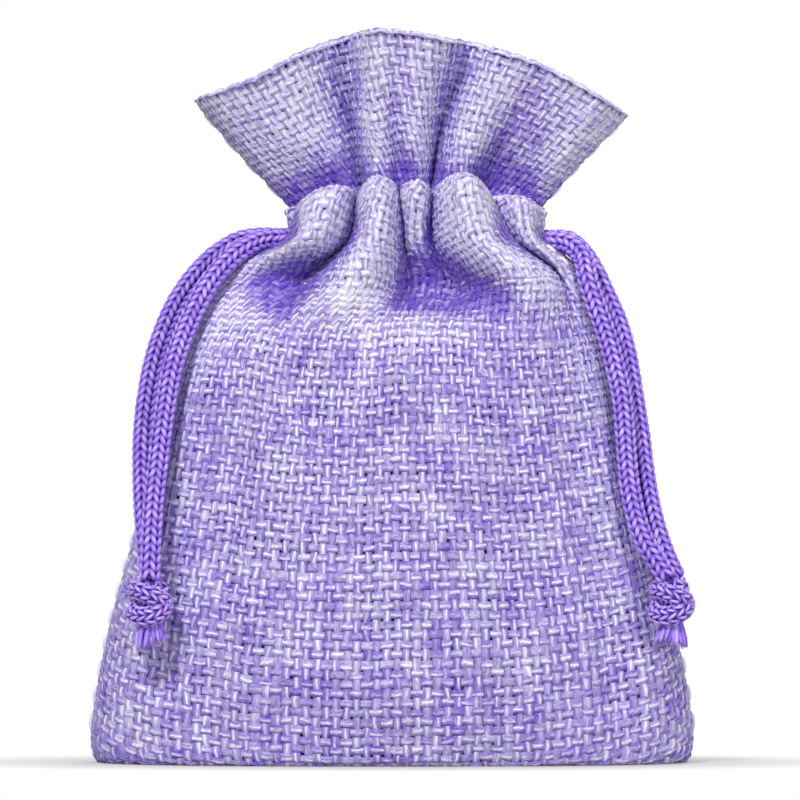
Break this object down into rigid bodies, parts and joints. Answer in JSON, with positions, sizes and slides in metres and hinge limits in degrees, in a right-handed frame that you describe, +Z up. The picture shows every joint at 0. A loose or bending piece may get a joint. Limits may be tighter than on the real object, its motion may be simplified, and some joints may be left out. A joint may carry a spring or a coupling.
{
  "type": "lavender sachet",
  "caption": "Small filled drawstring bag of loosely woven cloth, gathered at the neck under a flared ruffle, with a knotted cord hanging at each side.",
  "frame": {"origin": "middle of the flat base that the bag stands on", "axes": "+Z up, +X to the right as seen from the front, front faces -Y"},
  "size_m": [0.0664, 0.0268, 0.0802],
  "materials": {
    "cloth": "matte",
    "cord": "satin",
    "thread": "matte",
    "lavender": "matte"
  },
  "bodies": {
    "bag": {"front_panel": "cloth", "back_panel": "cloth", "lavender_filling": "lavender", "bottom_seam": "thread", "left_body_seam": "thread", "left_ruffle_seam": "thread", "right_body_seam": "thread", "right_ruffle_seam": "thread", "front_lower_stitching": "thread", "front_upper_stitching": "thread", "back_lower_stitching": "thread", "back_upper_stitching": "thread", "left_cord_loop": "cord", "right_cord_loop": "cord"},
    "left_feed": {"left_front_feed": "cord", "left_back_feed": "cord"},
    "left_tail": {"left_front_strand": "cord", "left_back_strand": "cord", "left_knot": "cord", "left_tassel": "cord"},
    "right_feed": {"right_front_feed": "cord", "right_back_feed": "cord"},
    "right_tail": {"right_front_strand": "cord", "right_back_strand": "cord", "right_knot": "cord", "right_tassel": "cord"}
  },
  "joints": [
    {"name": "left_pull", "type": "slide", "parent": "bag", "child": "left_feed", "axis": [-0.995, 0, -0.1], "range_m": [0, 0.006]},
    {"name": "left_swing", "type": "hinge", "parent": "left_feed", "child": "left_tail", "pos_m": [-0.0122, 0, 0.0572], "axis": [0, 1, 0], "range_deg": [0, 75]},
    {"name": "right_pull", "type": "slide", "parent": "bag", "child": "right_feed", "axis": [0.9854, 0, -0.1701], "range_m": [0, 0.006]},
    {"name": "right_swing", "type": "hinge", "parent": "right_feed", "child": "right_tail", "pos_m": [0.0171, 0, 0.057], "axis": [0, -1, 0], "range_deg": [0, 75]}
  ]
}
